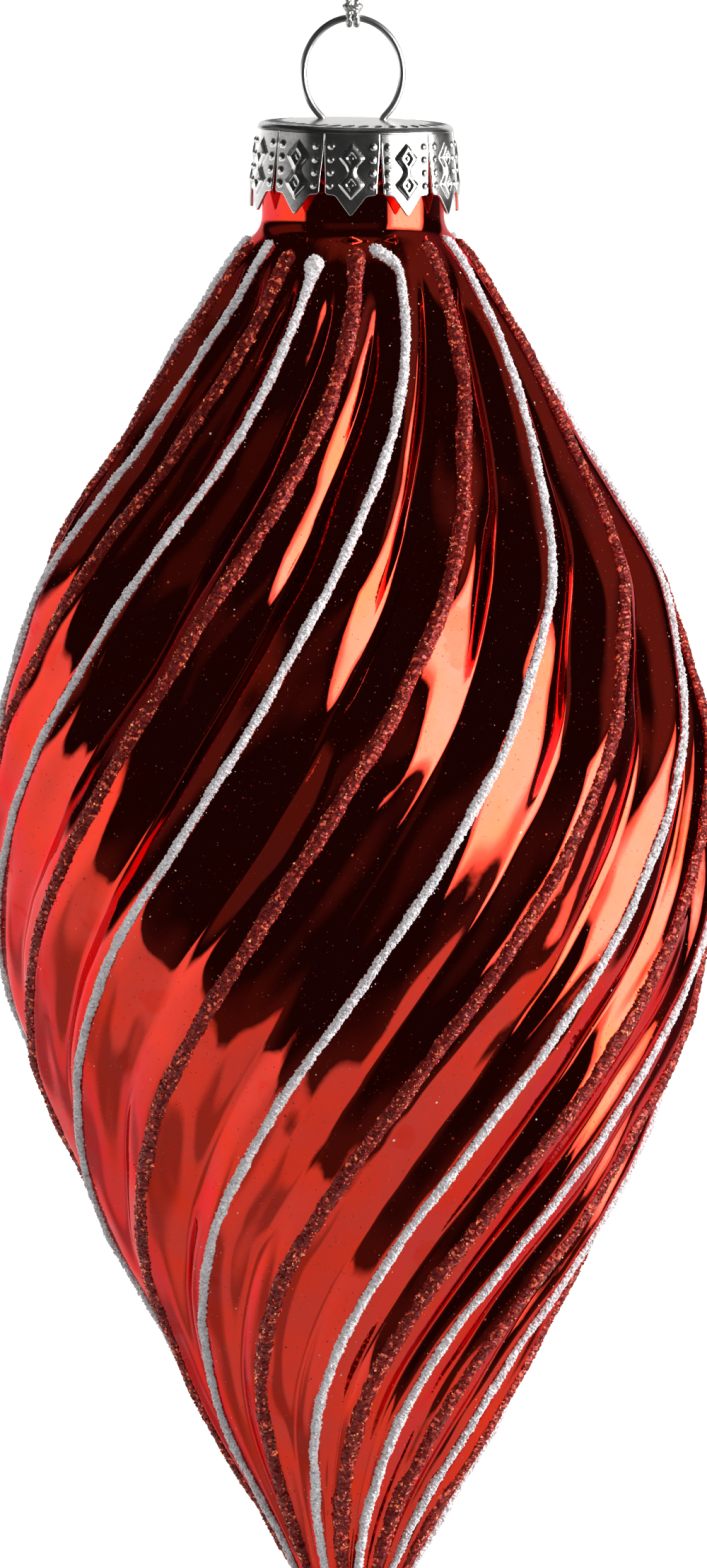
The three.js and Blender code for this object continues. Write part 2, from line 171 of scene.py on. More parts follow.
wobble = Waves(11, 9.0, 30.0, 30, (1, 1, 0.55))
ripple = Waves(12, 3.2, 8.0, 30, (1, 1, 0.6))
depth_wave = Waves(13, 12.0, 40.0, 24, (1, 1, 0.7))


def glass_surface(u, z):
    """Point of the glass's outer surface in mm, for rib coordinate u and height z."""
    u, z = np.broadcast_arrays(np.asarray(u, float), np.asarray(z, float))
    a = np.radians(rib_deg(u, z))
    R = radius_at(z)
    crest = rib_crest(u, z)
    base = np.stack([R * np.sin(a), -R * np.cos(a), z], -1)
    body = smooth(-59.5, -66.0, z) * smooth(-185.0, -176.0, z)
    d = depth_at(z) * (1 + 0.16 * depth_wave(base) * body)
    # round ribs that meet in a narrow groove
    soft = 0.035
    c = np.sqrt(crest * crest + soft * soft) - soft * (1 - crest)
    c = np.clip(c, 0, 1)
    r = R - d * (1 - rib_shape(c, z))
    # long shallow flutes drawn along the ribs when the glass was turned in its mould
    flute = np.zeros_like(r)
    for n_, run, ph_, am in ((31, 62.0, 0.4, 0.050), (43, -85.0, 2.1, 0.046), (56, 48.0, 4.0, 0.030), (23, -120.0, 1.2, 0.055)):
        flute = flute + am * np.sin(2 * math.pi * (n_ * u / RIBS + z / run) + ph_ + 1.3 * depth_wave(base * 0.7 + n_))
    r = r + flute * body * np.clip(R / 24, 0.1, 1) * (1 - 0.6 * c ** 6) * (1 + 0.25 * smooth(-92, -112, z))
    r = r + (0.10 * wobble(base) + 0.022 * ripple(base)) * body * np.clip(R / 20, 0.15, 1)
    r = r + 0.02 * wobble(base * 1.7 + 40) * (1 - body) * smooth(-184, -175, z)
    return np.stack([r * np.sin(a), -r * np.cos(a), z], -1)


def glass_frame(u, z):
    """Point, outward normal, direction down the rib, and direction across it, on the glass, in mm."""
    e = 0.02
    p = glass_surface(u, z)
    # the rib's own crest line and the smooth envelope give a steady frame
    a = np.radians(rib_deg(u, z))
    slope = (radius_at(z + 0.5) - radius_at(z - 0.5)) / 1.0
    n = np.stack([np.sin(a), -np.cos(a), -slope], -1)
    n /= np.linalg.norm(n, axis=-1, keepdims=True)
    t = glass_surface(u, z - 0.4) - glass_surface(u, z + 0.4)
    t /= np.linalg.norm(t, axis=-1, keepdims=True)
    b = np.cross(n, t)
    b /= np.linalg.norm(b, axis=-1, keepdims=True)
    n = np.cross(t, b)
    return p, n, t, b


# ------------------------------------------------------------------ mesh helpers
def mesh_object(name, verts, faces, material, body, smooth_shade=True, uniform=None, replaces=(), extra_mats=(), mat_index=None):
    """faces is a list of arrays (k, 3) or (k, 4) of vertex numbers. Vertices are in mm."""
    verts = np.asarray(verts, float)
    me = bpy.data.meshes.new(name)
    me.vertices.add(len(verts))
    me.vertices.foreach_set("co", (verts * MM).astype(np.float32).ravel())
    loops, starts, totals = [], [], []
    at = 0
    for f in faces:
        f = np.asarray(f, np.int32)
        k, n = f.shape
        loops.append(f.ravel())
        starts.append(at + np.arange(k, dtype=np.int32) * n)
        totals.append(np.full(k, n, np.int32))
        at += k * n
    loops, starts, totals = np.concatenate(loops), np.concatenate(starts), np.concatenate(totals)
    me.loops.add(len(loops))
    me.loops.foreach_set("vertex_index", loops)
    me.polygons.add(len(starts))
    me.polygons.foreach_set("loop_start", starts)
    me.polygons.foreach_set("loop_total", totals)
    me.update(calc_edges=True)
    me.validate()
    me.polygons.foreach_set("use_smooth", np.full(len(me.polygons), bool(smooth_shade)))
    me.materials.append(material)
    for m in extra_mats:
        me.materials.append(m)
    if mat_index is not None:
        me.polygons.foreach_set("material_index", np.asarray(mat_index, np.int32))
    me.update()
    o = bpy.data.objects.new(name, me)
    scene.collection.objects.link(o)
    if body:
        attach(o, body)
    if replaces:
        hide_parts(*replaces)
    return o


def grid_faces(rows, cols, closed_cols=True, offset=0, flip=False):
    """Quads of a rows x cols grid of vertices stored row by row."""
    r = np.arange(rows - 1)[:, None]
    c = np.arange(cols if closed_cols else cols - 1)[None, :]
    c2 = (c + 1) % cols
    a, b, d, e = r * cols + c, r * cols + c2, (r + 1) * cols + c2, (r + 1) * cols + c
    q = np.stack([a, b, d, e], -1).reshape(-1, 4) + offset
    return q[:, ::-1] if flip else q


def fan(center, ring, flip=False):
    ring = np.asarray(ring)
    nxt = np.roll(ring, -1)
    f = np.stack([np.full(len(ring), center), ring, nxt], -1)
    return f[:, ::-1] if flip else f


def frames_along(p, up=(0, 0, 1)):
    """Tangent and two steady side directions along a polyline."""
    t = np.gradient(p, axis=0)
    t /= np.linalg.norm(t, axis=1, keepdims=True)
    n = np.empty_like(p)
    ref = np.array(up, float)
    if abs(t[0] @ ref) > 0.9:
        ref = np.array([0, 1, 0.0])
    v = ref - t[0] * (ref @ t[0])
    n[0] = v / np.linalg.norm(v)
    for i in range(1, len(p)):
        v = n[i - 1] - t[i] * (n[i - 1] @ t[i])
        n[i] = v / np.linalg.norm(v)
    return t, n, np.cross(t, n)


def spline(points, n, closed=False):
    """Points along a centripetal Catmull-Rom curve, evenly spaced."""
    p = np.asarray(points, float)
    if closed:
        p = np.vstack([p[-1], p, p[0], p[1]])
    else:
        p = np.vstack([2 * p[0] - p[1], p, 2 * p[-1] - p[-2]])
    out = []
    for i in range(1, len(p) - 2):
        p0, p1, p2, p3 = p[i - 1:i + 3]
        t0 = 0.0
        t1 = t0 + max(np.linalg.norm(p1 - p0) ** 0.5, 1e-6)
        t2 = t1 + max(np.linalg.norm(p2 - p1) ** 0.5, 1e-6)
        t3 = t2 + max(np.linalg.norm(p3 - p2) ** 0.5, 1e-6)
        t = np.linspace(t1, t2, 40, endpoint=False)[:, None]
        a1 = (t1 - t) / (t1 - t0) * p0 + (t - t0) / (t1 - t0) * p1
        a2 = (t2 - t) / (t2 - t1) * p1 + (t - t1) / (t2 - t1) * p2
        a3 = (t3 - t) / (t3 - t2) * p2 + (t - t2) / (t3 - t2) * p3
        b1 = (t2 - t) / (t2 - t0) * a1 + (t - t0) / (t2 - t0) * a2
        b2 = (t3 - t) / (t3 - t1) * a2 + (t - t1) / (t3 - t1) * a3
        out.append((t2 - t) / (t2 - t1) * b1 + (t - t1) / (t2 - t1) * b2)
    out.append(p[-2][None, :])
    q = np.vstack(out)
    s = np.r_[0, np.cumsum(np.linalg.norm(np.diff(q, axis=0), axis=1))]
    at = np.linspace(0, s[-1], n)
    return np.stack([np.interp(at, s, q[:, k]) for k in range(3)], -1)


def tube(path, section, twist=0.0, caps="round"):
    """Closed tube along a path. section(theta, s) gives the radius; s is the length along, in mm."""
    t, n, b = frames_along(path)
    sides = 24
    th = np.linspace(0, 2 * math.pi, sides, endpoint=False)
    s = np.r_[0, np.cumsum(np.linalg.norm(np.diff(path, axis=0), axis=1))]
    rows = []
    for i in range(len(path)):
        r = section(th, s[i])
        rows.append(path[i] + (n[i] * (r * np.cos(th))[:, None] + b[i] * (r * np.sin(th))[:, None]))
    v = np.vstack(rows)
    faces = [grid_faces(len(path), sides)]
    v = np.vstack([v, path[0] - t[0] * 0.12, path[-1] + t[-1] * 0.12])
    m = len(path) * sides
    faces.append(fan(m, np.arange(sides), flip=True))
    faces.append(fan(m + 1, np.arange(sides) + (len(path) - 1) * sides))
    return v, faces


# ------------------------------------------------------------------ material helpers
def new_material(name):
    m = bpy.data.materials.new(name)
    m.use_nodes = True
    nt = m.node_tree
    for n in list(nt.nodes):
        nt.nodes.remove(n)
    out = nt.nodes.new("ShaderNodeOutputMaterial")
    p = nt.nodes.new("ShaderNodeBsdfPrincipled")
    nt.links.new(p.outputs[0], out.inputs[0])
    return m, nt, p


def node(nt, kind, inputs=None, **attrs):
    n = nt.nodes.new(kind)
    for k, v in attrs.items():
        setattr(n, k, v)
    for k, v in (inputs or {}).items():
        if isinstance(v, bpy.types.NodeSocket):
            nt.links.new(v, n.inputs[k])
        else:
            n.inputs[k].default_value = v
    return n


def ramp(nt, fac, stops, interpolation="LINEAR"):
    n = nt.nodes.new("ShaderNodeValToRGB")
    n.color_ramp.interpolation = interpolation
    el = n.color_ramp.elements
    while len(el) < len(stops):
        el.new(0.5)
    for e, (pos, col) in zip(el, stops):
        e.position = pos
        e.color = col if len(col) == 4 else (*col, 1)
    nt.links.new(fac, n.inputs[0])
    return n


def bump(nt, height, strength, distance, normal=None):
    n = nt.nodes.new("ShaderNodeBump")
    n.inputs["Strength"].default_value = strength
    n.inputs["Distance"].default_value = distance
    nt.links.new(height, n.inputs["Height"])
    if normal is not None:
        nt.links.new(normal, n.inputs["Normal"])
    return n


def coords(nt):
    return nt.nodes.new("ShaderNodeTexCoord").outputs["Object"]


# ------------------------------------------------------------------ materials
def glass_material():
    m, nt, p = new_material("silvered_red_glass")
    co = coords(nt)
    # faint cloudiness of the silvering and lacquer
    cloud = node(nt, "ShaderNodeTexNoise", {"Vector": co, "Scale": 140.0, "Detail": 4.0, "Roughness": 0.55})
    col = ramp(nt, cloud.outputs["Fac"], [(0.30, (0.66, 0.019, 0.0030)), (0.55, (0.73, 0.025, 0.0040)), (0.75, (0.78, 0.031, 0.0050))])

    def specks(scale, radius, share, seed):
        v = node(nt, "ShaderNodeTexVoronoi", {"Vector": node(nt, "ShaderNodeVectorMath", {0: co, 1: (seed, 0.31 * seed, 0.7)}, operation="ADD").outputs[0], "Scale": scale})
        c = node(nt, "ShaderNodeSeparateColor", {"Color": v.outputs["Color"]})
        reach = node(nt, "ShaderNodeMapRange", {"Value": c.outputs["Blue"], "To Min": 0.4 * radius, "To Max": radius})
        near = node(nt, "ShaderNodeMath", {0: v.outputs["Distance"], 1: reach.outputs[0]}, operation="LESS_THAN")
        rare = node(nt, "ShaderNodeMath", {0: c.outputs["Red"], 1: 1 - share}, operation="GREATER_THAN")
        return node(nt, "ShaderNodeMath", {0: near.outputs[0], 1: rare.outputs[0]}, operation="MULTIPLY").outputs[0], c

    # stray glitter on the lacquer, and finer dust
    dot, pick = specks(1400.0, 0.17, 0.10, 3.0)
    fine, pick2 = specks(4200.0, 0.26, 0.16, 8.0)
    stray = ramp(nt, pick.outputs["Green"], [(0.0, (0.18, 0.012, 0.01)), (0.5, (0.42, 0.03, 0.02)), (0.86, (0.75, 0.10, 0.05)), (0.90, (0.62, 0.58, 0.58)), (1.0, (0.9, 0.87, 0.87))])
    dust = ramp(nt, pick2.outputs["Green"], [(0.0, (0.06, 0.012, 0.010)), (0.7, (0.17, 0.03, 0.02)), (1.0, (0.30, 0.20, 0.18))])
    base = node(nt, "ShaderNodeMix", {0: fine, 6: col.outputs["Color"], 7: dust.outputs["Color"]}, data_type="RGBA")
    base = node(nt, "ShaderNodeMix", {0: dot, 6: base.outputs[2], 7: stray.outputs["Color"]}, data_type="RGBA")
    nt.links.new(base.outputs[2], p.inputs["Base Color"])
    marks = node(nt, "ShaderNodeMath", {0: dot, 1: fine}, operation="MAXIMUM").outputs[0]
    rough = node(nt, "ShaderNodeMapRange", {"Value": cloud.outputs["Fac"], "From Min": 0.3, "From Max": 0.8, "To Min": 0.012, "To Max": 0.05})
    rough2 = node(nt, "ShaderNodeMix", {0: marks, 2: rough.outputs[0], 3: 0.5}, data_type="FLOAT")
    nt.links.new(rough2.outputs[0], p.inputs["Roughness"])
    metal = node(nt, "ShaderNodeMapRange", {"Value": marks, "To Min": 1.0, "To Max": 0.25})
    nt.links.new(metal.outputs[0], p.inputs["Metallic"])
    p.inputs["Specular Tint"].default_value = (0.85, 0.04, 0.02, 1)
    p.inputs["Coat Weight"].default_value = 0.13
    p.inputs["Coat Roughness"].default_value = 0.012
    p.inputs["Coat IOR"].default_value = 1.5
    # slight orange-peel of the lacquer
    peel = node(nt, "ShaderNodeTexNoise", {"Vector": co, "Scale": 420.0, "Detail": 2.0, "Roughness": 0.5})
    b = bump(nt, peel.outputs["Fac"], 0.08, 0.00012)
    b2 = bump(nt, marks, 0.5, 0.00005, b.outputs[0])
    nt.links.new(b2.outputs[0], p.inputs["Normal"])
    nt.links.new(b.outputs[0], p.inputs["Coat Normal"])
    return m


def frost_material():
    m, nt, p = new_material("white_frost_granules")
    co = coords(nt)
    vor = node(nt, "ShaderNodeTexVoronoi", {"Vector": co, "Scale": 5200.0})
    pick = node(nt, "ShaderNodeSeparateColor", {"Color": vor.outputs["Color"]})
    noise = node(nt, "ShaderNodeTexNoise", {"Vector": co, "Scale": 900.0, "Detail": 3.0})
    mixed = node(nt, "ShaderNodeMath", {0: pick.outputs["Red"], 1: noise.outputs["Fac"]}, operation="MULTIPLY")
    col = ramp(nt, mixed.outputs[0], [(0.02, (0.66, 0.61, 0.63)), (0.22, (0.86, 0.82, 0.84)), (0.55, (0.96, 0.94, 0.95))])
    nt.links.new(col.outputs["Color"], p.inputs["Base Color"])
    r = node(nt, "ShaderNodeMapRange", {"Value": pick.outputs["Green"], "To Min": 0.22, "To Max": 0.75})
    nt.links.new(r.outputs[0], p.inputs["Roughness"])
    p.inputs["Subsurface Weight"].default_value = 0.25
    p.inputs["Subsurface Radius"].default_value = (0.0005, 0.0004, 0.0004)
    p.inputs["Subsurface Scale"].default_value = 1.0
    b = bump(nt, vor.outputs["Distance"], 0.5, 0.00012)
    nt.links.new(b.outputs[0], p.inputs["Normal"])
    return m


def glitter_material(name, stops, rough_lo, rough_hi, metallic, scale=4200.0):
    m, nt, p = new_material(name)
    co = coords(nt)
    vor = node(nt, "ShaderNodeTexVoronoi", {"Vector": co, "Scale": scale})
    pick = node(nt, "ShaderNodeSeparateColor", {"Color": vor.outputs["Color"]})
    col = ramp(nt, pick.outputs["Red"], stops)
    nt.links.new(col.outputs["Color"], p.inputs["Base Color"])
    r = node(nt, "ShaderNodeMapRange", {"Value": pick.outputs["Green"], "To Min": rough_lo, "To Max": rough_hi})
    nt.links.new(r.outputs[0], p.inputs["Roughness"])
    # painted glint: the brightest cells turn almost non-metallic so their bright base shows as a highlight, and they
    # glow with their own colour
    painted_glint_metallic = node(nt, "ShaderNodeMapRange", {"Value": pick.outputs["Red"], "From Min": 0.88, "From Max": 0.92, "To Min": metallic, "To Max": 0.08})
    nt.links.new(painted_glint_metallic.outputs[0], p.inputs["Metallic"])
    painted_glint_glow = node(nt, "ShaderNodeMapRange", {"Value": pick.outputs["Red"], "From Min": 0.90, "From Max": 0.93, "To Min": 0.0, "To Max": 0.55})
    nt.links.new(col.outputs["Color"], p.inputs["Emission Color"])
    nt.links.new(painted_glint_glow.outputs[0], p.inputs["Emission Strength"])
    b = bump(nt, pick.outputs["Blue"], 0.6, 0.00008)
    nt.links.new(b.outputs[0], p.inputs["Normal"])
    return m


def plated_material(name, tint, rough_lo, rough_hi, mottle_and_painted_shade=0.5):
    m, nt, p = new_material(name)
    co = coords(nt)
    n1 = node(nt, "ShaderNodeTexNoise", {"Vector": co, "Scale": 500.0, "Detail": 5.0, "Roughness": 0.6})
    n2 = node(nt, "ShaderNodeTexNoise", {"Vector": co, "Scale": 3500.0, "Detail": 3.0})
    col = ramp(nt, n1.outputs["Fac"], [(0.30, tuple(c * (1 - 0.30 * mottle_and_painted_shade) for c in tint)), (0.55, tint), (0.8, tuple(min(1, c * 1.06) for c in tint))])
    # painted shade: the colour darkens in the pressed corners and recesses that an occlusion test finds
    ao = node(nt, "ShaderNodeAmbientOcclusion", {"Distance": 0.0006}, samples=6)
    painted_corner_shade = ramp(nt, ao.outputs["AO"], [(0.25, (0.22, 0.21, 0.20)), (0.85, (1, 1, 1))])
    tint_with_painted_shade = node(nt, "ShaderNodeMix", {0: 0.75 * mottle_and_painted_shade, 6: col.outputs["Color"], 7: painted_corner_shade.outputs["Color"]}, data_type="RGBA", blend_type="MULTIPLY")
    nt.links.new(tint_with_painted_shade.outputs[2], p.inputs["Base Color"])
    p.inputs["Metallic"].default_value = 1.0
    r = node(nt, "ShaderNodeMapRange", {"Value": n1.outputs["Fac"], "From Min": 0.3, "From Max": 0.75, "To Min": rough_lo, "To Max": rough_hi})
    nt.links.new(r.outputs[0], p.inputs["Roughness"])
    b = bump(nt, n2.outputs["Fac"], 0.12, 0.00003)
    nt.links.new(b.outputs[0], p.inputs["Normal"])
    return m


def thread_material():
    m, nt, p = new_material("silver_metallic_thread")
    co = coords(nt)
    fib = node(nt, "ShaderNodeTexNoise", {"Vector": co, "Scale": 9000.0, "Detail": 2.0})
    col = ramp(nt, fib.outputs["Fac"], [(0.30, (0.30, 0.29, 0.28)), (0.5, (0.66, 0.65, 0.63)), (0.7, (0.93, 0.92, 0.90))])
    nt.links.new(col.outputs["Color"], p.inputs["Base Color"])
    p.inputs["Metallic"].default_value = 0.85
    r = node(nt, "ShaderNodeMapRange", {"Value": fib.outputs["Fac"], "To Min": 0.15, "To Max": 0.5})
    nt.links.new(r.outputs[0], p.inputs["Roughness"])
    b = bump(nt, fib.outputs["Fac"], 0.7, 0.00006)
    nt.links.new(b.outputs[0], p.inputs["Normal"])
    return m


GLASS = glass_material()
FROST = frost_material()
# the top stops of both ramps are painted glints, bright and glowing; the lower stops are the glitter's own red
BED = glitter_material("red_glitter_bed", [(0.0, (0.10, 0.006, 0.006)), (0.5, (0.22, 0.012, 0.010)), (0.85, (0.36, 0.03, 0.02)), (1.0, (0.6, 0.1, 0.05))], 0.25, 0.7, 0.5)
FLAKE = glitter_material("red_glitter_flakes", [(0.0, (0.30, 0.008, 0.007)), (0.5, (0.52, 0.020, 0.012)), (0.88, (0.72, 0.045, 0.020)), (0.92, (1.0, 0.30, 0.10)), (1.0, (1.0, 0.48, 0.22))], 0.15, 0.42, 0.66, 3000.0)
# the last number sets both the random mottling and the strength of the painted corner shade
TIN_MAT = plated_material("plated_tin", (0.82, 0.805, 0.79), 0.17, 0.30, 0.6)
WIRE_MAT = plated_material("plated_wire", (0.88, 0.87, 0.86), 0.30, 0.38, 0.2)
THREAD_MAT = thread_material()

# ------------------------------------------------------------------ the thread loop (a free cord)
HALF = [(-0.42, -40.8), (-0.55, -36.0), (-0.9, -28.0), (-1.25, -20.0), (-1.5, -12.0),
        (-1.62, -6.5), (-1.6, -3.4), (-1.38, -1.3), (-0.8, -0.06)]
LOOP = [(x, 0, z) for x, z in HALF] + [(0, 0, THREAD_D / 2)] + [(-x, 0, z) for x, z in reversed(HALF)]
loop_path = spline(LOOP, 420)


def ply_section(phase=0.0, plies=3, pitch=1.35, r=THREAD_D / 2):
    def f(th, s):
        lobe = np.abs(np.cos(0.5 * plies * (th - 2 * math.pi * s / pitch / 1.0) + phase))
        return r * (0.74 + 0.26 * lobe ** 0.7)
    return f


v, f = tube(loop_path, ply_section())
thread = mesh_object("silver_thread_loop", v, f, THREAD_MAT, "thread", replaces=("hanging_thread",))

# overhand knot over the loop's top, with its two tails
kt = np.linspace(0, 2 * math.pi, 9, endpoint=False)
trefoil = [((0.36 * (math.sin(t) + 2 * math.sin(2 * t))) * 0.62,
            (0.36 * (math.cos(t) - 2 * math.cos(2 * t))) * 0.42,
            1.62 + 0.30 * -math.sin(3 * t) + 0.30 * math.cos(t)) for t in np.linspace(0, 2 * math.pi, 16, endpoint=False)]
kv, kf = [], []


def add_part(store_v, store_f, v, f):
    off = sum(len(a) for a in store_v)
    store_v.append(v)
    store_f.extend([np.asarray(x) + off for x in f])


def closed_tube(path, section, sides=20):
    """Tube along a closed path."""
    n_ = len(path)
    t = np.roll(path, -1, 0) - np.roll(path, 1, 0)
    t /= np.linalg.norm(t, axis=1, keepdims=True)
    n = np.empty_like(path)
    ref = np.array([0.3, 0.2, 1.0])
    v = ref - t[0] * (ref @ t[0])
    n[0] = v / np.linalg.norm(v)
    for i in range(1, n_):
        v = n[i - 1] - t[i] * (n[i - 1] @ t[i])
        n[i] = v / np.linalg.norm(v)
    # spread the closing mismatch round the loop
    v = n[-1] - t[0] * (n[-1] @ t[0])
    v /= np.linalg.norm(v)
    miss = math.atan2(np.dot(np.cross(v, n[0]), t[0]), np.dot(v, n[0]))
    ang = np.linspace(0, miss, n_)
    b = np.cross(t, n)
    n2 = n * np.cos(ang)[:, None] + b * np.sin(ang)[:, None]
    b2 = np.cross(t, n2)
    th = np.linspace(0, 2 * math.pi, sides, endpoint=False)
    s = np.r_[0, np.cumsum(np.linalg.norm(np.diff(path, axis=0), axis=1))]
    rows = [path[i] + n2[i] * (section(th, s[i]) * np.cos(th))[:, None] + b2[i] * (section(th, s[i]) * np.sin(th))[:, None] for i in range(n_)]
    v = np.vstack(rows)
    q = grid_faces(n_ + 1, sides)
    q = np.where(q >= n_ * sides, q - n_ * sides, q)
    return v, [q]


kp = spline(trefoil, 161, closed=True)[:-1]
per = np.linalg.norm(np.diff(np.vstack([kp, kp[:1]]), axis=0), axis=1).sum()
pv, pf = closed_tube(kp, ply_section(pitch=per / max(1, round(per / 1.35))))
add_part(kv, kf, pv, pf)
for s in (-1, 1):
    tail = spline([(s * 0.2, 0.0, 1.9), (s * 0.5, 0.05, 3.1), (s * 1.0, 0.1, 4.3), (s * 1.62, 0.1, 5.3)], 60)
    pv, pf = tube(tail, lambda th, q: ply_section()(th, q) * (1 + 0.35 * smooth(2.9, 3.9, q)))
    add_part(kv, kf, pv, pf)
knot = mesh_object("thread_overhand_knot", np.vstack(kv), kf, THREAD_MAT, "thread", replaces=("thread_knot",))

# ------------------------------------------------------------------ the hitch on the ring
zw = WIRE_TOP_Z
hitch_pts = [
    (-0.40, -0.05, zw + 1.72), (-0.33, -0.22, zw + 1.05), (-0.30, -0.52, zw + 0.38), (-0.30, -0.60, zw - 0.05),
    (-0.31, -0.36, zw - 0.50), (-0.32, 0.0, zw - 0.61), (-0.33, 0.40, zw - 0.46), (-0.33, 0.60, zw + 0.0),
    (-0.38, 0.52, zw + 0.50), (-0.56, 0.20, zw + 0.88), (-0.62, -0.25, zw + 0.98), (-0.40, -0.62, zw + 0.92),
    (0.0, -0.76, zw + 0.84), (0.40, -0.62, zw + 0.92), (0.62, -0.25, zw + 0.98), (0.56, 0.20, zw + 0.88),
    (0.38, 0.52, zw + 0.50), (0.33, 0.60, zw + 0.0), (0.33, 0.40, zw - 0.46), (0.32, 0.0, zw - 0.61),
    (0.31, -0.36, zw - 0.50), (0.30, -0.60, zw - 0.05), (0.30, -0.52, zw + 0.38), (0.33, -0.22, zw + 1.05), (0.40, -0.05, zw + 1.72)]
hp = spline(hitch_pts, 360)
hv, hf = tube(hp, ply_section(pitch=1.2))
mesh_object("thread_larks_head_hitch", hv, hf, THREAD_MAT, "hitch", replaces=("thread_hitch",))

# ------------------------------------------------------------------ wire hanger
leg = [(3.5, LEG_FOOT_Z), (3.62, -70.4), (3.64, -68.4), (3.52, -65.6), (3.25, -62.4), (2.92, -59.8),
       (2.67, -57.6), (2.57, -55.8), (LEG_X, -54.4), (LEG_X, -52.8), (LEG_X, -51.6), (2.62, -51.0)]
t0 = math.asin(3.02 / RING_A)
ring = [(-RING_A * math.sin(t), 0, RING_ZC - RING_B * math.cos(t)) for t in np.linspace(t0, 2 * math.pi - t0, 40)]
hanger_pts = [(-x, 0, z) for x, z in leg] + ring + [(x, 0, z) for x, z in reversed(leg)]
wv, wf = tube(spline(hanger_pts, 520), lambda th, s: np.full_like(th, WIRE_R))
mesh_object("spring_wire_hanger", wv, wf, WIRE_MAT, "hanger", replaces=("wire_hanger",))

# ------------------------------------------------------------------ crown cap
CAP_TILT = math.radians(1.2)


def flare(z):
    return CAP_R + (CAP_FLARE_R - CAP_R) * (CAP_RIM - 0.4 - z) / (CAP_RIM - 0.4 - SPIKE_TIP)


def tri_wave_bump(d, w):
    """1 inside, falling to 0 over w once d (a signed distance, negative inside) passes 0."""
    return 1 - smooth(-0.5 * w, 0.5 * w, d)


def eight_distance(x, y):
    """Signed distance-like value of the double-diamond outline, x across and y up, in mm; negative inside."""
    yy = np.abs(y) - 1.14                         # one lobe
    lobe = (np.abs(x) / 1.10 + np.abs(yy) / 1.30 - 1.0) * 0.84
    waist = np.maximum(np.abs(x) - 0.36, np.abs(y) - 0.9)
    k = 0.22
    h = np.clip(0.5 + 0.5 * (waist - lobe) / k, 0, 1)
    return waist * (1 - h) + lobe * h - k * h * (1 - h)


def emboss(x, y):
    """Height pressed outward on a tab; x across from its middle, y up from the middle of its pattern, mm."""
    y8 = y + 0.45                                 # the double diamond sits a little low between the dots
    e = np.clip(-eight_distance(x, y8) / 0.60, 0, 1)
    h = 0.27 * np.sqrt(1 - (1 - e) ** 2)
    yy = np.abs(y8) - 1.14
    diamond = (np.abs(x) / 0.44 + np.abs(yy) / 0.60 - 1.0) * 0.36
    h = h - 0.24 * tri_wave_bump(diamond + 0.02, 0.13)
    boss2 = (x / 0.20) ** 2 + (yy / 0.24) ** 2
    h = h + 0.12 * np.sqrt(np.clip(1 - boss2, 0, 1))
    for s in (-1, 1):
        for j in range(4):
            yc = (1.5 - j) * 1.12
            d2 = ((x - s * 1.80) ** 2 + (y - yc) ** 2) / 0.28 ** 2
            h = h + 0.19 * np.sqrt(np.clip(1 - d2, 0, 1))
    return h


